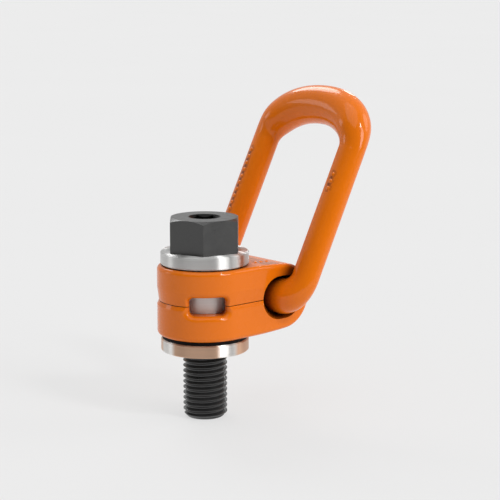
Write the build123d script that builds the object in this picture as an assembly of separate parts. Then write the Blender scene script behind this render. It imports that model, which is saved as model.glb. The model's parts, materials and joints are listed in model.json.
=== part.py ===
from build123d import *
import math
import os

# Swivel hoist ring for an M20 tapped hole, in millimetres.
# The origin is on the bolt's axis at the seating face; +Z points up to the bolt head,
# +X points from the bolt to the pivot of the load ring, and the pivot runs along Y.

# bolt
THREAD_DIAMETER = 20.0
THREAD_PITCH = 2.5
STUD_LENGTH = 31.0
STUD_LAND = 2.0
STUD_CHAMFER = 1.9
THREAD_DEPTH_SHARE = 0.6134
THREAD_CREST_SHARE = 0.125
THREAD_OVERLAP = 0.15
THREAD_CREST_GAP = 0.03
HEAD_ACROSS_FLATS = 30.0
HEAD_HEIGHT = 15.3
HEAD_CHAMFER_ANGLE = 30.0
HEAD_TURN = 48.6
SOCKET_ACROSS_FLATS = 12.0
SOCKET_DEPTH = 10.0
SOCKET_TURN = 78.6
SOCKET_CHAMFER = 0.6
CLIP_GROOVE_RADIUS = 9.2
CLIP_GROOVE_HEIGHT = 1.7
CLIP_OUTER_RADIUS = 11.4
CLIP_THICKNESS = 1.2
CLIP_GAP = 6.0

# flanged bushing and the collar on top of it
COLLAR_RADIUS = 19.8
COLLAR_BREAK = 0.5
FLANGE_HEIGHT = 5.65
BUSHING_RADIUS = 13.75
BUSHING_NECK_RADIUS = 12.5
BUSHING_SHOULDER_Z = 41.0
BUSHING_BORE_RADIUS = 10.35
CLIP_POCKET_RADIUS = 11.9
CLIP_POCKET_DEPTH = 2.4
COLLAR_BOTTOM_Z = 39.4
COLLAR_TOP_Z = 45.2
LOCK_WIRE_RADIUS = 0.6
LOCK_WIRE_Z = 43.2
FIT_GAP = 0.05
RUNNING_GAP = 0.08

# two-part housing
HOUSING_BOTTOM_Z = 7.4
HOUSING_TOP_Z = 39.0
HUB_RADIUS = 21.45
ARM_HALF_WIDTH = 21.1
NOSE_RADIUS = 15.0
SLOPE_START_X = 10.0
UPPER_DRAFT_HEIGHT = 6.0
LOWER_DRAFT_HEIGHT = 1.8
DRAFT_STEP = 0.8
HOUSING_EDGE_FILLET = 2.0
RIM_START = 6.0
SPLIT_GAP = 0.3

# grease window through both halves, over the split
WINDOW_TURN = -125.8
WINDOW_WIDTH = 15.7
WINDOW_HEIGHT = 8.2
WINDOW_CORNER = 2.0
WINDOW_LIP = 2.4

# bearing balls and seals
BALL_RADIUS = 1.75
BALL_COUNT = 28
BALL_PITCH_RADIUS = 16.5
RACE_GAP = 0.05
SEAL_INNER_RADIUS = 18.65
SEAL_OUTER_RADIUS = 19.2
SEAL_DEPTH = 0.5
SEAL_LIP_GAP = 0.1

# dowel pins between the halves
DOWEL_RADIUS = 2.0
DOWEL_LENGTH = 10.0
DOWEL_CHAMFER = 0.4
DOWEL_X = 8.9
DOWEL_Y = 15.4

# pivot of the load ring
PIVOT_X = 29.95
BAR_RADIUS = 8.2
MOUTH_RADIUS = 10.1
MOUTH_LENGTHENING = 4.15
MOUTH_DEPTH = 6.0

# friction brake that holds the ring where it is put
BRAKE_RADIUS = 3.0
BRAKE_PAD_HEIGHT = 2.4
BRAKE_PLUG_RADIUS = 4.0
BRAKE_PLUG_HEIGHT = 1.6
BRAKE_PLUG_RECESS = 0.1
BRAKE_PLUG_KEY = 4.0
BRAKE_SPRING_RADIUS = 2.0
BRAKE_WIRE_RADIUS = 0.4
BRAKE_SPRING_TURNS = 3

# load ring, drawn flat and then tilted about its pivot
RING_TILT = 62.9
LEG_SPACING = 58.3
LEG_HALF_WIDTH = 6.8
LEG_HALF_THICKNESS = 5.6
CROWN_HALF_WIDTH = 9.2
CROWN_HALF_THICKNESS = 8.27
CROWN_START = 72.1
CROWN_RISE = 21.04
CROWN_SQUARENESS = 2.17
FULL_WIDTH_ANGLE = 70.8
FULL_THICKNESS_ANGLE = 44.6
CROWN_STEPS = 10
FOOT_BEND_RADIUS = 10.6
FOOT_STEPS = 6
PIP_RADIUS = 1.1
PIP_HEIGHT = 0.45
PIP_PITCH = 3.4
LONG_PIP_COUNT = 10
LONG_PIP_START = 65.0
LONG_PIP_TURN = 78.0
SHORT_PIP_COUNT = 3
SHORT_PIP_START = 58.5
SHORT_PIP_TURN = 86.0
ARM_PIP_START_X = 20.0
ARM_PIP_Y = -11.5

# derived positions
SPLIT_Z = (HOUSING_BOTTOM_Z + HOUSING_TOP_Z) / 2
HALF_HEIGHT = HOUSING_TOP_Z - SPLIT_Z
HEAD_TOP_Z = COLLAR_TOP_Z + HEAD_HEIGHT
UPPER_BALL_Z = (HOUSING_TOP_Z + COLLAR_BOTTOM_Z) / 2
LOWER_BALL_Z = (HOUSING_BOTTOM_Z + FLANGE_HEIGHT) / 2
PIVOT = (PIVOT_X, 0, SPLIT_Z)
PLUG_BOTTOM_Z = SPLIT_Z - NOSE_RADIUS + BRAKE_PLUG_RECESS
BORE_RADIUS = BAR_RADIUS + RUNNING_GAP
OVERSIZE = 1.0
ABOVE = 1
BELOW = -1


def turned(*outline):
    """A solid of revolution about Z from an outline of (radius, height) points."""
    points = [(radius, 0, height) for radius, height in outline]
    return revolve(make_face(Polyline(*points, close=True)), Axis.Z)


def ball_race(height):
    """The ring-shaped groove that one row of balls runs in."""
    return Pos(0, 0, height) * Torus(BALL_PITCH_RADIUS, BALL_RADIUS + RACE_GAP)


def lock_wire(radius):
    """The round wire that keeps the collar on the bushing, with the given wire radius."""
    return Pos(0, 0, LOCK_WIRE_Z) * Torus(BUSHING_NECK_RADIUS, radius)


def hexagon(across_flats, turn):
    return RegularPolygon(across_flats / 2, 6, major_radius=False, rotation=turn)


def make_thread():
    """The right-hand thread with its chamfered end; its top runs out inside the plain land."""
    crest = THREAD_DIAMETER / 2 - THREAD_CREST_GAP
    root = THREAD_DIAMETER / 2 - THREAD_DEPTH_SHARE * THREAD_PITCH
    top = -STUD_LAND / 2
    bottom = -STUD_LENGTH - THREAD_PITCH
    half_crest = THREAD_PITCH * THREAD_CREST_SHARE / 2
    half_root = THREAD_PITCH / 2 - half_crest
    foot = root - THREAD_OVERLAP
    tooth = make_face(
        Polyline(
            (foot, 0, bottom - half_root),
            (crest, 0, bottom - half_crest),
            (crest, 0, bottom + half_crest),
            (foot, 0, bottom + half_root),
            close=True,
        )
    )
    helix = Pos(0, 0, bottom) * Helix(THREAD_PITCH, top - bottom, root)
    core = turned((0, bottom), (root, bottom), (root, 0), (0, 0))
    tip = THREAD_DIAMETER / 2 - STUD_CHAMFER
    wide = THREAD_DIAMETER / 2 + OVERSIZE
    envelope = turned(
        (0, -STUD_LENGTH),
        (tip, -STUD_LENGTH),
        (wide, wide - tip - STUD_LENGTH),
        (wide, top / 2),
        (0, top / 2),
    )
    return (core + sweep(tooth, path=helix, is_frenet=True)) & envelope


def make_shank():
    """The shank, with the clip's groove just above a short plain land."""
    radius = THREAD_DIAMETER / 2
    return turned(
        (0, -STUD_LAND),
        (radius, -STUD_LAND),
        (radius, 0),
        (CLIP_GROOVE_RADIUS, 0),
        (CLIP_GROOVE_RADIUS, CLIP_GROOVE_HEIGHT),
        (radius, CLIP_GROOVE_HEIGHT),
        (radius, COLLAR_TOP_Z),
        (0, COLLAR_TOP_Z),
    )


def make_hex_bolt():
    """Hex-head bolt with a hex socket in its head."""
    corner = HEAD_ACROSS_FLATS / math.sqrt(3)
    flat = HEAD_ACROSS_FLATS / 2
    drop = (corner + OVERSIZE - flat) * math.tan(math.radians(HEAD_CHAMFER_ANGLE))
    envelope = turned(
        (0, COLLAR_TOP_Z),
        (corner + OVERSIZE, COLLAR_TOP_Z),
        (corner + OVERSIZE, HEAD_TOP_Z - drop),
        (flat, HEAD_TOP_Z),
        (0, HEAD_TOP_Z),
    )
    head = extrude(Pos(0, 0, COLLAR_TOP_Z) * hexagon(HEAD_ACROSS_FLATS, HEAD_TURN), HEAD_HEIGHT)
    socket = extrude(Pos(0, 0, HEAD_TOP_Z) * hexagon(SOCKET_ACROSS_FLATS, SOCKET_TURN), -SOCKET_DEPTH)
    lead = SOCKET_ACROSS_FLATS / math.sqrt(3) + SOCKET_CHAMFER / 2
    mouth = turned((0, HEAD_TOP_Z - lead), (lead, HEAD_TOP_Z), (0, HEAD_TOP_Z))
    return make_shank() + make_thread() + (head & envelope) - socket - mouth


def make_bolt_retaining_ring():
    """Open spring clip in the shank's groove, which keeps the bolt in the bushing."""
    bottom = (CLIP_GROOVE_HEIGHT - CLIP_THICKNESS) / 2
    inner = CLIP_GROOVE_RADIUS + FIT_GAP
    ring = turned(
        (inner, bottom),
        (CLIP_OUTER_RADIUS, bottom),
        (CLIP_OUTER_RADIUS, bottom + CLIP_THICKNESS),
        (inner, bottom + CLIP_THICKNESS),
    )
    opening = Pos(CLIP_OUTER_RADIUS, 0, 0) * Box(CLIP_OUTER_RADIUS, CLIP_GAP, THREAD_DIAMETER)
    return ring - opening


def make_flanged_bushing():
    """The fixed core: a seating flange and the tube that the housing turns on."""
    body = turned(
        (CLIP_POCKET_RADIUS, 0),
        (COLLAR_RADIUS - COLLAR_BREAK, 0),
        (COLLAR_RADIUS, COLLAR_BREAK),
        (COLLAR_RADIUS, FLANGE_HEIGHT - COLLAR_BREAK),
        (COLLAR_RADIUS - COLLAR_BREAK, FLANGE_HEIGHT),
        (BUSHING_RADIUS, FLANGE_HEIGHT),
        (BUSHING_RADIUS, BUSHING_SHOULDER_Z),
        (BUSHING_NECK_RADIUS, BUSHING_SHOULDER_Z),
        (BUSHING_NECK_RADIUS, COLLAR_TOP_Z),
        (BUSHING_BORE_RADIUS, COLLAR_TOP_Z),
        (BUSHING_BORE_RADIUS, CLIP_POCKET_DEPTH),
        (CLIP_POCKET_RADIUS, CLIP_POCKET_DEPTH),
    )
    return body - ball_race(LOWER_BALL_Z) - lock_wire(LOCK_WIRE_RADIUS + FIT_GAP)


def make_upper_collar():
    """The collar above the housing, which carries the upward pull through the upper balls."""
    wide_bore = BUSHING_RADIUS + FIT_GAP
    neck_bore = BUSHING_NECK_RADIUS + FIT_GAP
    body = turned(
        (wide_bore, COLLAR_BOTTOM_Z),
        (COLLAR_RADIUS - COLLAR_BREAK, COLLAR_BOTTOM_Z),
        (COLLAR_RADIUS, COLLAR_BOTTOM_Z + COLLAR_BREAK),
        (COLLAR_RADIUS, COLLAR_TOP_Z - COLLAR_BREAK),
        (COLLAR_RADIUS - COLLAR_BREAK, COLLAR_TOP_Z),
        (neck_bore, COLLAR_TOP_Z),
        (neck_bore, BUSHING_SHOULDER_Z),
        (wide_bore, BUSHING_SHOULDER_Z),
    )
    return body - ball_race(UPPER_BALL_Z) - lock_wire(LOCK_WIRE_RADIUS + FIT_GAP)


def make_ball_row(height):
    """One full row of loose bearing balls."""
    spots = PolarLocations(BALL_PITCH_RADIUS, BALL_COUNT)
    return Compound(children=[Pos(0, 0, height) * spot * Sphere(BALL_RADIUS) for spot in spots])


def make_seal(low, high):
    """A thin rubber wiper ring, held in the housing's groove."""
    return turned(
        (SEAL_INNER_RADIUS, low),
        (SEAL_OUTER_RADIUS, low),
        (SEAL_OUTER_RADIUS, high),
        (SEAL_INNER_RADIUS, high),
    )


def plan_outline(shrink):
    """The housing seen from above: a round hub with a straight arm, drawn in by shrink."""
    hub = Circle(HUB_RADIUS - shrink)
    reach = PIVOT_X + NOSE_RADIUS + OVERSIZE
    root_y = HUB_RADIUS - shrink
    tip_y = ARM_HALF_WIDTH - shrink
    arm = make_face(Polyline((0, -root_y), (reach, -tip_y), (reach, tip_y), (0, root_y), close=True))
    return hub + arm


def slope_radius():
    """Radius of the long arc that leads from the flat top down to the nose."""
    run = PIVOT_X - SLOPE_START_X
    return (run**2 + HALF_HEIGHT**2 - NOSE_RADIUS**2) / (2 * (HALF_HEIGHT - NOSE_RADIUS))


def side_outline():
    """The housing seen from the side: flat, then easing down to a nose about the ring's pivot."""
    radius = slope_radius()
    bend = math.degrees(math.asin((PIVOT_X - SLOPE_START_X) / (radius - NOSE_RADIUS)))
    back = -HUB_RADIUS - OVERSIZE
    top = JernArc((SLOPE_START_X, HALF_HEIGHT), (1, 0), radius, -bend)
    nose = JernArc(top @ 1, top % 1, NOSE_RADIUS, 2 * bend - 180)
    bottom = JernArc(nose @ 1, nose % 1, radius, -bend)
    rest = Polyline(bottom @ 1, (back, -HALF_HEIGHT), (back, HALF_HEIGHT), top @ 0)
    return make_face(Curve() + [top, nose, bottom, rest])


def arm_top(x):
    """Height of the arm's upper surface at x, on its long arc."""
    radius = slope_radius()
    return HOUSING_TOP_Z - radius + math.sqrt(radius**2 - (x - SLOPE_START_X) ** 2)


def housing_shell(side):
    """One half with straight walls and a rounded rim; side is ABOVE or BELOW the split."""
    walls = extrude(Plane.XY.offset(SPLIT_Z + side * SPLIT_GAP / 2) * plan_outline(0), side * HALF_HEIGHT)
    depth = 2 * HUB_RADIUS + 2 * OVERSIZE
    side_plane = Plane(origin=(0, depth / 2, SPLIT_Z), x_dir=(1, 0, 0), z_dir=(0, -1, 0))
    shell = walls & extrude(side_plane * side_outline(), depth)
    # the rim is every long edge well away from the split, apart from those that cross the arm
    beyond = [edge for edge in shell.edges() if side * (edge.center().Z - SPLIT_Z) > RIM_START]
    rim = ShapeList(edge for edge in beyond if edge.length > RIM_START)
    return fillet(rim.filter_by(Axis.Y, reverse=True), HOUSING_EDGE_FILLET)


def draft_envelope(side):
    """An oversize copy of one half whose walls draw in towards the split."""
    height = UPPER_DRAFT_HEIGHT if side == ABOVE else LOWER_DRAFT_HEIGHT
    start = Plane.XY.offset(SPLIT_Z + side * SPLIT_GAP / 2)
    clear = Plane.XY.offset(SPLIT_Z + side * 2 * height)
    drawn_in = loft([start * plan_outline(DRAFT_STEP), clear * plan_outline(-DRAFT_STEP)], ruled=True)
    return drawn_in + extrude(clear * plan_outline(-DRAFT_STEP), side * HALF_HEIGHT)


def window_cutter():
    """A straight radial passage with rounded corners, centred on the split."""
    plane = Plane(origin=(BUSHING_RADIUS - WINDOW_WIDTH / 2, 0, 0), x_dir=(0, 1, 0), z_dir=(1, 0, 0))
    outline = plane * RectangleRounded(WINDOW_WIDTH, WINDOW_HEIGHT, WINDOW_CORNER)
    return Pos(0, 0, SPLIT_Z) * Rot(0, 0, WINDOW_TURN) * extrude(outline, HUB_RADIUS)


def cut_window(half):
    """Cut the window into a half and round its outer edge."""
    cut = half - window_cutter()
    middle = Vector(HUB_RADIUS, 0, SPLIT_Z).rotate(Axis.Z, WINDOW_TURN)
    near = [edge for edge in cut.edges() if (edge.center() - middle).length < WINDOW_WIDTH / 2 + OVERSIZE]
    depths = [HUB_RADIUS - edge.center().cross(Vector(0, 0, 1)).length for edge in near]
    lip = [edge for edge, depth in zip(near, depths) if depth < DRAFT_STEP + OVERSIZE]
    return fillet(lip, WINDOW_LIP)


def ring_passage():
    """The bore for the ring's bar, with a longer, flared mouth on each side."""
    across = Plane(origin=PIVOT, x_dir=(1, 0, 0), z_dir=(0, 1, 0))
    bore = extrude(across * Circle(BORE_RADIUS), HUB_RADIUS, both=True)
    outer = ARM_HALF_WIDTH + OVERSIZE
    for direction in (ABOVE, BELOW):
        face = across.offset(direction * outer)
        throat = across.offset(direction * (ARM_HALF_WIDTH - MOUTH_DEPTH))
        wide = Pos(-MOUTH_LENGTHENING / 2, 0) * SlotCenterToCenter(MOUTH_LENGTHENING, 2 * MOUTH_RADIUS)
        narrow = SlotCenterToCenter(RUNNING_GAP, 2 * BORE_RADIUS)
        bore += loft([face * wide, throat * narrow], ruled=True)
    return bore


def pips(count, start, step, normal=(0, 0, 1)):
    """Small plain domes in a row, cut from spheres so that they stand PIP_HEIGHT proud."""
    sphere_radius = (PIP_RADIUS**2 + PIP_HEIGHT**2) / (2 * PIP_HEIGHT)
    sunk = Vector(*normal).normalized() * (PIP_HEIGHT - sphere_radius)
    first = Vector(*start) + sunk
    return [Pos(first + Vector(*step) * index) * Sphere(sphere_radius) for index in range(count)]


def make_housing(side):
    """One half of the housing, which clamps the ring's bar and turns on the bushing."""
    half = cut_window(housing_shell(side)) & draft_envelope(side)
    half -= ring_passage()
    half -= Pos(0, 0, SPLIT_Z) * Cylinder(BUSHING_RADIUS + RUNNING_GAP, HOUSING_TOP_Z)
    if side == ABOVE:
        half -= ball_race(UPPER_BALL_Z)
        half -= make_seal(HOUSING_TOP_Z - SEAL_DEPTH, HOUSING_TOP_Z + OVERSIZE)
    else:
        half -= ball_race(LOWER_BALL_Z)
        half -= make_seal(HOUSING_BOTTOM_Z - OVERSIZE, HOUSING_BOTTOM_Z + SEAL_DEPTH)
    for y in (-DOWEL_Y, DOWEL_Y):
        half -= Pos(DOWEL_X, y, SPLIT_Z) * Cylinder(DOWEL_RADIUS, DOWEL_LENGTH)
    return half


def make_upper_housing():
    half = make_housing(ABOVE)
    last_x = ARM_PIP_START_X + (SHORT_PIP_COUNT - 1) * PIP_PITCH
    drop = (arm_top(last_x) - arm_top(ARM_PIP_START_X)) / (SHORT_PIP_COUNT - 1)
    start = (ARM_PIP_START_X, ARM_PIP_Y, arm_top(ARM_PIP_START_X))
    for pip in pips(SHORT_PIP_COUNT, start, (PIP_PITCH, 0, drop)):
        half += pip
    return half


def make_lower_housing():
    """The lower half also holds the friction brake, in a stepped hole under the ring's bar."""
    half = make_housing(BELOW)
    half -= Pos(PIVOT_X, 0, SPLIT_Z - HALF_HEIGHT / 2) * Cylinder(BRAKE_RADIUS, HALF_HEIGHT)
    half -= Pos(PIVOT_X, 0, PLUG_BOTTOM_Z) * Cylinder(BRAKE_PLUG_RADIUS, 2 * BRAKE_PLUG_HEIGHT)
    return half


def make_dowel_pin(y):
    pin = Pos(DOWEL_X, y, SPLIT_Z) * Cylinder(DOWEL_RADIUS, DOWEL_LENGTH - 2 * SPLIT_GAP)
    return chamfer(pin.edges().filter_by(GeomType.CIRCLE), DOWEL_CHAMFER)


def make_brake_plunger():
    """A pad with a hollow top that rubs on the ring's bar."""
    top = SPLIT_Z - BAR_RADIUS + OVERSIZE
    pad = Pos(PIVOT_X, 0, top - BRAKE_PAD_HEIGHT / 2) * Cylinder(BRAKE_RADIUS - FIT_GAP, BRAKE_PAD_HEIGHT)
    bar = Plane(origin=PIVOT, x_dir=(1, 0, 0), z_dir=(0, 1, 0)) * Circle(BAR_RADIUS + FIT_GAP)
    return pad - extrude(bar, HUB_RADIUS, both=True)


def make_brake_plug():
    """A short screw plug with a key socket, just inside the housing's underside."""
    middle = PLUG_BOTTOM_Z + BRAKE_PLUG_HEIGHT / 2
    plug = Pos(PIVOT_X, 0, middle) * Cylinder(BRAKE_PLUG_RADIUS, BRAKE_PLUG_HEIGHT)
    key = extrude(Pos(PIVOT_X, 0, PLUG_BOTTOM_Z) * hexagon(BRAKE_PLUG_KEY, 0), BRAKE_PLUG_HEIGHT / 2)
    return plug - key


def make_brake_spring():
    """The coil spring between the plug and the plunger."""
    low = PLUG_BOTTOM_Z + BRAKE_PLUG_HEIGHT + BRAKE_WIRE_RADIUS
    high = SPLIT_Z - BAR_RADIUS + OVERSIZE - BRAKE_PAD_HEIGHT - BRAKE_WIRE_RADIUS
    path = Helix((high - low) / BRAKE_SPRING_TURNS, high - low, BRAKE_SPRING_RADIUS)
    wire = Plane(origin=path @ 0, z_dir=path % 0) * Circle(BRAKE_WIRE_RADIUS)
    return Pos(PIVOT_X, 0, low) * sweep(wire, path=path, is_frenet=True)


def smooth(share):
    """Ease from 0 to 1."""
    return 0.5 - 0.5 * math.cos(math.pi * share)


def ring_section(point, side, angle, half_width, half_thickness):
    """An oval section of the ring about a point of its centreline.

    The angle is measured from the leg on the given side. Every section's normal points
    the same way round the ring, so that sections of both sides can share one loft.
    """
    outward = Vector(math.sin(angle), side * math.cos(angle), 0)
    along = Vector(side * math.cos(angle), -math.sin(angle), 0)
    plane = Plane(origin=Vector(*point, 0), x_dir=outward, z_dir=along)
    return plane * Ellipse(half_width, half_thickness)


def crown_point(side, angle):
    """The point of the crown's squarish oval centreline that faces outward at angle."""
    half = LEG_SPACING / 2
    power = 1 / (CROWN_SQUARENESS - 1)
    across = half * math.cos(angle)
    along = CROWN_RISE * math.sin(angle)
    scale = (across ** (1 + power) + along ** (1 + power)) ** (1 / CROWN_SQUARENESS)
    return CROWN_START + CROWN_RISE * along**power / scale, side * half * across**power / scale


def grown(leg_size, crown_size, angle, full_angle):
    """Ease from the leg's size to the crown's full size, which is reached at full_angle degrees."""
    share = smooth(min(1, math.degrees(angle) / full_angle))
    return leg_size + (crown_size - leg_size) * share


def crown_section(side, angle):
    """The crown's section at an angle from the leg; it grows wider and thicker towards the middle."""
    width = grown(LEG_HALF_WIDTH, CROWN_HALF_WIDTH, angle, FULL_WIDTH_ANGLE)
    thickness = grown(LEG_HALF_THICKNESS, CROWN_HALF_THICKNESS, angle, FULL_THICKNESS_ANGLE)
    return ring_section(crown_point(side, angle), side, angle, width, thickness)


def make_crown():
    """One smooth loft from leg to leg."""
    angles = [math.pi / 2 * step / CROWN_STEPS for step in range(CROWN_STEPS)]
    rising = [crown_section(ABOVE, angle) for angle in angles]
    falling = [crown_section(BELOW, angle) for angle in angles]
    return loft(rising + [crown_section(ABOVE, math.pi / 2)] + falling[::-1])


def make_foot():
    """The lower bend on the +Y side, from the round bar to the oval foot of the leg."""
    sections = []
    for step in range(FOOT_STEPS + 1):
        share = step / FOOT_STEPS
        width = BAR_RADIUS + (LEG_HALF_WIDTH - BAR_RADIUS) * smooth(share)
        thickness = BAR_RADIUS + (LEG_HALF_THICKNESS - BAR_RADIUS) * smooth(share)
        angle = math.pi / 2 * (share - 1)
        u = FOOT_BEND_RADIUS * (1 + math.sin(angle))
        v = LEG_SPACING / 2 - FOOT_BEND_RADIUS * (1 - math.cos(angle))
        sections.append(ring_section((u, v), ABOVE, angle, width, thickness))
    return loft(sections)


def leg_pips(count, reach, leg_y, turn):
    """A row of pips on a leg's oval section, at turn degrees from +Y, starting at reach from the pivot."""
    cosine = math.cos(math.radians(turn))
    sine = math.sin(math.radians(turn))
    start = (reach, leg_y + LEG_HALF_WIDTH * cosine, LEG_HALF_THICKNESS * sine)
    normal = (0, cosine / LEG_HALF_WIDTH, sine / LEG_HALF_THICKNESS)
    return pips(count, start, (-PIP_PITCH, 0, 0), normal)


def make_load_ring():
    """The forged link: a round bar in the housing, two oval legs and a thick crown."""
    half = LEG_SPACING / 2
    leg_plane = Plane(origin=(FOOT_BEND_RADIUS, half, 0), x_dir=(0, 1, 0), z_dir=(1, 0, 0))
    leg = extrude(leg_plane * Ellipse(LEG_HALF_WIDTH, LEG_HALF_THICKNESS), CROWN_START - FOOT_BEND_RADIUS)
    side = leg + make_foot()
    bar_end = half - FOOT_BEND_RADIUS
    bar_plane = Plane(origin=(0, -bar_end, 0), x_dir=(1, 0, 0), z_dir=(0, 1, 0))
    bar = extrude(bar_plane * Circle(BAR_RADIUS), 2 * bar_end)
    ring = make_crown() + side + bar + mirror(side, about=Plane.XZ)
    long_row = leg_pips(LONG_PIP_COUNT, LONG_PIP_START, half, LONG_PIP_TURN)
    short_row = leg_pips(SHORT_PIP_COUNT, SHORT_PIP_START, -half, SHORT_PIP_TURN)
    for pip in long_row + short_row:
        ring += pip
    return Pos(*PIVOT) * Rot(0, -RING_TILT, 0) * ring


SUB_PARTS = {
    "hex_bolt": make_hex_bolt,
    "bolt_retaining_ring": make_bolt_retaining_ring,
    "flanged_bushing": make_flanged_bushing,
    "upper_collar": make_upper_collar,
    "collar_lock_ring": lambda: lock_wire(LOCK_WIRE_RADIUS),
    "upper_bearing_balls": lambda: make_ball_row(UPPER_BALL_Z),
    "lower_bearing_balls": lambda: make_ball_row(LOWER_BALL_Z),
    "upper_seal": lambda: make_seal(HOUSING_TOP_Z - SEAL_DEPTH, COLLAR_BOTTOM_Z - SEAL_LIP_GAP),
    "lower_seal": lambda: make_seal(FLANGE_HEIGHT + SEAL_LIP_GAP, HOUSING_BOTTOM_Z + SEAL_DEPTH),
    "upper_housing": make_upper_housing,
    "lower_housing": make_lower_housing,
    "left_dowel_pin": lambda: make_dowel_pin(-DOWEL_Y),
    "right_dowel_pin": lambda: make_dowel_pin(DOWEL_Y),
    "brake_plunger": make_brake_plunger,
    "brake_spring": make_brake_spring,
    "brake_plug": make_brake_plug,
    "load_ring": make_load_ring,
}


def main():
    os.makedirs("parts", exist_ok=True)
    for name, make in SUB_PARTS.items():
        export_step(make(), f"parts/{name}.step")


if __name__ == "__main__":
    main()
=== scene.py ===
import json
import math

import bpy
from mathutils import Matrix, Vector

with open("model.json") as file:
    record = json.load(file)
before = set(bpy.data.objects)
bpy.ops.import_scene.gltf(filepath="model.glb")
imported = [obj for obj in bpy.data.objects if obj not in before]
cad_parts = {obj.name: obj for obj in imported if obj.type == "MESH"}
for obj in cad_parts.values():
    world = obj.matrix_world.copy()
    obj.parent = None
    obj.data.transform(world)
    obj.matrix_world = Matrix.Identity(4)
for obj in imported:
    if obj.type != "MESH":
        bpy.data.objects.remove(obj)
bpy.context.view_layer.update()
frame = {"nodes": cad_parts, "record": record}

MM = 0.001

# the camera: where it stands round the object, and the point it looks at
VIEW_AZIMUTH = math.radians(-41.36)
VIEW_ELEVATION = math.radians(10.35)
VIEW_DISTANCE = 717.9 * MM
AIM_RIGHT = 20.34 * MM
AIM_UP = 44.54 * MM
LENS = 114.15
SENSOR = 36.0
CLIP_START = 0.05
CLIP_END = 100

# the floor lies under the end of the stud and glows, so that it is as pale as the surround
FLOOR_Z = -31.0 * MM
FLOOR_RADIUS = 40.0
FLOOR_SIDES = 128
FLOOR_GLOW = 0.60

# strength of the surround behind the object and on the camera's side, and where it changes
WORLD_BACK = 0.6
WORLD_FRONT = 0.09
WORLD_BLEND = 0.5

# far lights: degrees to the right of the camera, elevation and spread in degrees, strength
LIGHTS = {
    "key": (52, 44, 9, 0.75),
    "strip": (56, 24, 26, 1.05),
    "side": (105, 28, 30, 0.45),
    "left": (-100, 15, 18, 0.16),
    "top": (-25, 72, 60, 0.9),
    "behind": (-160, 42, 26, 0.9),
    "rim": (168, 20, 8, 0.12),
}

# widths of the gaps and corners that get painted shade
PAINT_SHADE_GAP = 7 * MM
OXIDE_SHADE_GAP = 4 * MM
GAP_SAMPLES = 8
FULLY_OPEN = 0.95

# distances from the bolt's axis: the key socket's wall, inside which the oxide gets a painted black
# shade, and just outside the bushing's tube
SOCKET_RADIUS = 7.1 * MM
SOCKET_BLUR = 0.6 * MM
TUBE_RADIUS = 14.5 * MM
TUBE_BLUR = 0.5 * MM

# the steel gets a painted warm reflection at the flange, none at the collar, and pale painted
# highlight bands round its axis
WARM_REFLECTION_BELOW = 6 * MM
NEUTRAL_ABOVE = 24 * MM
PALE_HIGHLIGHT_BANDS = 4
PALE_HIGHLIGHT_PHASE = 0.57

PAINT_DEEP = (0.78, 0.165, 0.002, 1)
PAINT_BRIGHT = (0.83, 0.185, 0.003, 1)
# painted shade: dark colours for the paint's creases and for its gaps and corners
PAINT_CREASE_SHADE = (0.03, 0.008, 0.002, 1)
PAINT_SHADE = (0.04, 0.008, 0.002, 1)
OXIDE_DEEP = (0.010, 0.010, 0.010, 1)
OXIDE_BRIGHT = (0.022, 0.022, 0.021, 1)
# painted shade in the oxide's gaps
OXIDE_SHADE = (0.006, 0.006, 0.006, 1)
# painted black shade inside the key socket
SOCKET_SHADE_BLACK = (0.003, 0.003, 0.003, 1)
STEEL_NEUTRAL = (0.72, 0.72, 0.71, 1)
# painted reflections on the steel: a warm reflection and pale highlight bands
STEEL_WARM_REFLECTION = (0.80, 0.52, 0.36, 1)
STEEL_PALE_HIGHLIGHT = (0.86, 0.84, 0.81, 1)
STEEL_MARK = (0.3, 0.28, 0.26, 1)
SPRING_GREY = (0.42, 0.42, 0.43, 1)
BALL_GREY = (0.75, 0.75, 0.76, 1)
BRONZE = (0.62, 0.38, 0.16, 1)
RUBBER_DEEP = (0.004, 0.003, 0.003, 1)
RUBBER_BRIGHT = (0.008, 0.006, 0.005, 1)
FLOOR_DEEP = (0.193, 0.193, 0.193, 1)
FLOOR_BRIGHT = (0.203, 0.203, 0.203, 1)
WHITE = (1, 1, 1, 1)

# most of a noise texture's values lie between these two
NOISE_LOW = 0.3
NOISE_HIGH = 0.7


# ---------------------------------------------------------------- materials


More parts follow.
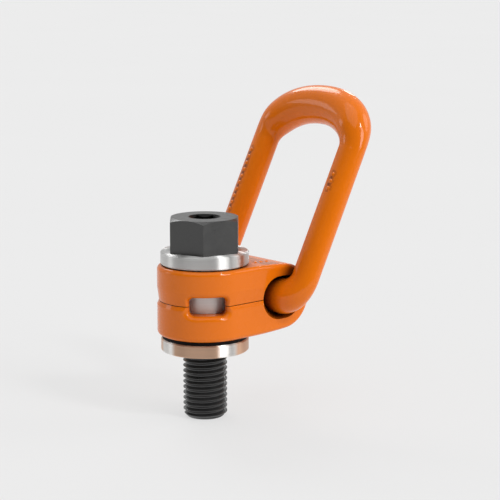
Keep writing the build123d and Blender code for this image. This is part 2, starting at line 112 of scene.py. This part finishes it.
class Shader:
    """A small helper that wires a node tree round one Principled shader."""

    def __init__(self, name):
        self.material = bpy.data.materials.new(name)
        self.material.use_nodes = True
        self.nodes = self.material.node_tree.nodes
        self.links = self.material.node_tree.links
        self.surface = self.nodes["Principled BSDF"]
        self.place = self.nodes.new("ShaderNodeTexCoord").outputs["Object"]

    def put(self, socket, value):
        self.surface.inputs[socket].default_value = value

    def drive(self, socket, value):
        self.links.new(value, self.surface.inputs[socket])

    def noise(self, scale, detail=3.0, roughness=0.5, stretch=(1, 1, 1)):
        """Noise over the object's own coordinates; scale is in features per metre."""
        mapping = self.nodes.new("ShaderNodeMapping")
        mapping.inputs["Scale"].default_value = stretch
        self.links.new(self.place, mapping.inputs["Vector"])
        noise = self.nodes.new("ShaderNodeTexNoise")
        noise.inputs["Scale"].default_value = scale
        noise.inputs["Detail"].default_value = detail
        noise.inputs["Roughness"].default_value = roughness
        self.links.new(mapping.outputs["Vector"], noise.inputs["Vector"])
        return noise.outputs["Fac"]

    def ramp(self, value, low, high, start=0.0, end=1.0):
        """Map value from low..high to start..end, and no further."""
        node = self.nodes.new("ShaderNodeMapRange")
        node.inputs["From Min"].default_value = low
        node.inputs["From Max"].default_value = high
        node.inputs["To Min"].default_value = start
        node.inputs["To Max"].default_value = end
        self.links.new(value, node.inputs["Value"])
        return node.outputs["Result"]

    def uneven(self, noise, start, end):
        """Spread a noise over start..end."""
        return self.ramp(noise, NOISE_LOW, NOISE_HIGH, start, end)

    def mix(self, factor, first, second):
        """Blend two colours, which are either RGBA tuples or sockets."""
        node = self.nodes.new("ShaderNodeMix")
        node.data_type = "RGBA"
        self.links.new(factor, node.inputs["Factor"])
        for name, colour in (("A", first), ("B", second)):
            socket = [s for s in node.inputs if s.name == name and s.type == "RGBA"][0]
            if isinstance(colour, tuple):
                socket.default_value = colour
            else:
                self.links.new(colour, socket)
        return [s for s in node.outputs if s.type == "RGBA"][0]

    def bump(self, height, strength, distance):
        node = self.nodes.new("ShaderNodeBump")
        node.inputs["Strength"].default_value = strength
        node.inputs["Distance"].default_value = distance
        self.links.new(height, node.inputs["Height"])
        return node.outputs["Normal"]

    def shade_openness(self, reach, high=FULLY_OPEN):
        """From 0 deep in a gap or corner narrower than reach to 1 in the open; the mask for painted
        shade.
        """
        node = self.nodes.new("ShaderNodeAmbientOcclusion")
        node.inputs["Distance"].default_value = reach
        node.samples = GAP_SAMPLES
        return self.ramp(node.outputs["AO"], 0.0, high)

    def beyond(self, radius, blur):
        """From 0 nearer the bolt's axis than radius to 1 farther out."""
        flat = self.nodes.new("ShaderNodeVectorMath")
        flat.operation = "MULTIPLY"
        flat.inputs[1].default_value = (1, 1, 0)
        self.links.new(self.place, flat.inputs[0])
        length = self.nodes.new("ShaderNodeVectorMath")
        length.operation = "LENGTH"
        self.links.new(flat.outputs["Vector"], length.inputs[0])
        return self.ramp(length.outputs["Value"], radius, radius + blur)

    def axis(self, letter):
        """The object's own X, Y or Z coordinate."""
        parts = self.nodes.new("ShaderNodeSeparateXYZ")
        self.links.new(self.place, parts.inputs["Vector"])
        return parts.outputs[letter]

    def calculate(self, operation, first, second=None):
        """A math node on one or two sockets."""
        node = self.nodes.new("ShaderNodeMath")
        node.operation = operation
        self.links.new(first, node.inputs[0])
        if second is not None:
            self.links.new(second, node.inputs[1])
        return node

    def waves_round(self, count, phase):
        """Count waves round the bolt's axis, each from -1 to 1."""
        angle = self.calculate("ARCTAN2", self.axis("Y"), self.axis("X"))
        turned = self.calculate("MULTIPLY_ADD", angle.outputs["Value"])
        turned.inputs[1].default_value = count
        turned.inputs[2].default_value = phase
        return self.calculate("COSINE", turned.outputs["Value"]).outputs["Value"]


def orange_paint():
    """Glossy enamel, very slightly uneven, with painted shade in its creases and gaps, where its
    coat is also weakened.
    """
    s = Shader("orange_paint")
    paint = s.mix(s.noise(scale=40, detail=4), PAINT_DEEP, PAINT_BRIGHT)
    pointiness = s.nodes.new("ShaderNodeNewGeometry").outputs["Pointiness"]
    # painted shade in the creases, found from the surface's pointiness
    crease_shaded = s.mix(s.ramp(pointiness, low=0.45, high=0.498), PAINT_CREASE_SHADE, paint)
    # painted shade in the gaps and corners, found by ambient occlusion
    shade_openness = s.shade_openness(PAINT_SHADE_GAP)
    s.drive("Base Color", s.mix(shade_openness, PAINT_SHADE, crease_shaded))
    s.drive("Roughness", s.uneven(s.noise(scale=220), start=0.22, end=0.32))
    s.put("Specular IOR Level", 0.08)
    # the coat is weakened in gaps and corners: painted shade on its reflection
    s.drive("Coat Weight", s.ramp(shade_openness, low=0.3, high=1.0, start=0.0, end=0.5))
    s.put("Coat IOR", 1.5)
    s.put("Coat Roughness", 0.06)
    s.drive("Normal", s.bump(s.noise(scale=260, detail=2), strength=0.03, distance=0.1 * MM))
    return s.material


def black_oxide():
    """Blackened steel, blotchy where it catches the light at a low angle, with painted shade in its
    gaps and a painted black shade, with weaker reflection, inside the key socket.
    """
    s = Shader("black_oxide")
    blotch = s.noise(scale=170, detail=6, roughness=0.7)
    tone = s.mix(s.ramp(blotch, low=0.35, high=0.65), OXIDE_DEEP, OXIDE_BRIGHT)
    # painted shade in the oxide's gaps, found by ambient occlusion
    gap_shaded = s.mix(s.shade_openness(OXIDE_SHADE_GAP, high=0.6), OXIDE_SHADE, tone)
    # painted black shade inside the key socket, with weaker reflection there
    outside = s.beyond(SOCKET_RADIUS, SOCKET_BLUR)
    s.drive("Base Color", s.mix(outside, SOCKET_SHADE_BLACK, gap_shaded))
    s.drive("Specular IOR Level", s.ramp(outside, low=0.0, high=1.0, start=0.08, end=0.5))
    s.put("IOR", 1.75)
    s.drive("Roughness", s.uneven(blotch, start=0.26, end=0.42))
    s.drive("Normal", s.bump(s.noise(scale=1500, detail=4), strength=0.1, distance=0.2 * MM))
    return s.material


def turned_steel():
    """Turned, plated steel; its fine marks stretch reflections up and down.

    It is duller on the bushing's tube, and towards the bottom its colour carries a painted warm
    reflection and pale painted highlight bands.
    """
    s = Shader("bright_steel")
    marks = s.noise(scale=25, stretch=(1, 1, 160))
    # painted warm reflection towards the bottom and pale painted highlight bands round the axis,
    # mixed into the steel's neutral colour
    warm_reflection = s.ramp(s.axis("Z"), WARM_REFLECTION_BELOW, NEUTRAL_ABOVE, start=1.0, end=0.0)
    pale = s.ramp(s.waves_round(PALE_HIGHLIGHT_BANDS, PALE_HIGHLIGHT_PHASE), low=0.4, high=0.8)
    steel_and_reflection = s.mix(warm_reflection, STEEL_NEUTRAL, s.mix(pale, STEEL_WARM_REFLECTION, STEEL_PALE_HIGHLIGHT))
    s.drive("Base Color", s.mix(s.uneven(marks, start=0.0, end=0.12), steel_and_reflection, STEEL_MARK))
    outside = s.beyond(TUBE_RADIUS, TUBE_BLUR)
    s.drive("Metallic", s.ramp(outside, low=0.0, high=1.0, start=0.4, end=1.0))
    s.drive("Roughness", s.uneven(marks, start=0.40, end=0.46))
    s.drive("Anisotropic", outside)
    s.put("Anisotropic Rotation", 0.25)
    tangent = s.nodes.new("ShaderNodeTangent")
    tangent.direction_type = "RADIAL"
    tangent.axis = "Z"
    s.drive("Tangent", tangent.outputs["Tangent"])
    s.drive("Normal", s.bump(marks, strength=0.04, distance=0.1 * MM))
    return s.material


def plain_metal(name, base, rough):
    """Metal that is slightly cloudy in tone and in roughness, which starts at rough."""
    s = Shader(name)
    cloud = s.noise(scale=300, detail=4)
    darker = tuple(0.8 * c for c in base[:3]) + (1,)
    s.drive("Base Color", s.mix(cloud, base, darker))
    s.put("Metallic", 1.0)
    s.drive("Roughness", s.uneven(cloud, rough, rough + 0.12))
    return s.material


def seal_rubber():
    s = Shader("seal_rubber")
    s.drive("Base Color", s.mix(s.noise(scale=500), RUBBER_DEEP, RUBBER_BRIGHT))
    s.put("Specular IOR Level", 0.1)
    s.drive("Roughness", s.uneven(s.noise(scale=900), start=0.5, end=0.7))
    return s.material


def floor_material():
    s = Shader("floor")
    s.drive("Base Color", s.mix(s.noise(scale=3), FLOOR_DEEP, FLOOR_BRIGHT))
    s.put("Roughness", 0.9)
    s.put("Specular IOR Level", 0.0)
    s.put("Emission Color", WHITE)
    s.put("Emission Strength", FLOOR_GLOW)
    return s.material


def paint_nodes():
    """Give each CAD node the material that its slot in the record names."""
    materials = {
        "orange_paint": orange_paint(),
        "black_oxide": black_oxide(),
        "bright_steel": turned_steel(),
        "spring_steel": plain_metal("spring_steel", SPRING_GREY, rough=0.3),
        "ball_steel": plain_metal("ball_steel", BALL_GREY, rough=0.08),
        "brake_bronze": plain_metal("brake_bronze", BRONZE, rough=0.3),
        "seal_rubber": seal_rubber(),
    }
    for entry in frame["record"]["subparts"]:
        node = frame["nodes"][entry["node"]]
        node.data.materials.clear()
        node.data.materials.append(materials[entry["material_slot"]])


# ---------------------------------------------------------------- floor, light and camera


def make_floor():
    turns = [2 * math.pi * k / FLOOR_SIDES for k in range(FLOOR_SIDES)]
    points = [(FLOOR_RADIUS * math.cos(t), FLOOR_RADIUS * math.sin(t), FLOOR_Z) for t in turns]
    mesh = bpy.data.meshes.new("floor")
    mesh.from_pydata(points, [], [tuple(range(FLOOR_SIDES))])
    mesh.update()
    floor = bpy.data.objects.new("floor", mesh)
    bpy.context.scene.collection.objects.link(floor)
    floor.data.materials.append(floor_material())


def make_world():
    """A pale surround: bright behind the object, darker on the camera's side."""
    world = bpy.data.worlds.new("studio")
    world.use_nodes = True
    nodes, links = world.node_tree.nodes, world.node_tree.links
    place = nodes.new("ShaderNodeTexCoord").outputs["Generated"]
    towards = nodes.new("ShaderNodeVectorMath")
    towards.operation = "DOT_PRODUCT"
    towards.inputs[1].default_value = direction(VIEW_AZIMUTH, 0)
    links.new(place, towards.inputs[0])
    fade = nodes.new("ShaderNodeMapRange")
    fade.interpolation_type = "SMOOTHSTEP"
    fade.inputs["From Min"].default_value = -WORLD_BLEND
    fade.inputs["From Max"].default_value = WORLD_BLEND
    fade.inputs["To Min"].default_value = WORLD_BACK
    fade.inputs["To Max"].default_value = WORLD_FRONT
    links.new(towards.outputs["Value"], fade.inputs["Value"])
    links.new(fade.outputs["Result"], nodes["Background"].inputs["Strength"])
    nodes["Background"].inputs["Color"].default_value = WHITE
    bpy.context.scene.world = world


def direction(azimuth, elevation):
    """A unit vector; azimuth 0 points along -Y and azimuth 90 degrees along +X."""
    across = math.cos(elevation)
    return Vector((math.sin(azimuth) * across, -math.cos(azimuth) * across, math.sin(elevation)))


def distant_light(name, turn, elevation, spread, strength):
    """A wide, far light."""
    towards = direction(VIEW_AZIMUTH + math.radians(turn), math.radians(elevation))
    light = bpy.data.lights.new(name, "SUN")
    light.angle = math.radians(spread)
    light.energy = strength
    lamp = bpy.data.objects.new(name, light)
    lamp.rotation_mode = "QUATERNION"
    lamp.rotation_quaternion = (-towards).to_track_quat("-Z", "Y")
    bpy.context.scene.collection.objects.link(lamp)


def make_camera():
    back = direction(VIEW_AZIMUTH, VIEW_ELEVATION)
    right = Vector((math.cos(VIEW_AZIMUTH), math.sin(VIEW_AZIMUTH), 0))
    up = back.cross(right)
    data = bpy.data.cameras.new("camera")
    data.lens = LENS
    data.sensor_width = SENSOR
    data.clip_start = CLIP_START
    data.clip_end = CLIP_END
    camera = bpy.data.objects.new("camera", data)
    camera.location = right * AIM_RIGHT + up * AIM_UP + back * VIEW_DISTANCE
    camera.rotation_mode = "QUATERNION"
    camera.rotation_quaternion = (-back).to_track_quat("-Z", "Y")
    bpy.context.scene.collection.objects.link(camera)
    bpy.context.scene.camera = camera


paint_nodes()
make_floor()
make_world()
for name, values in LIGHTS.items():
    distant_light(name, *values)
make_camera()

bpy.context.scene.view_settings.view_transform = "Standard"
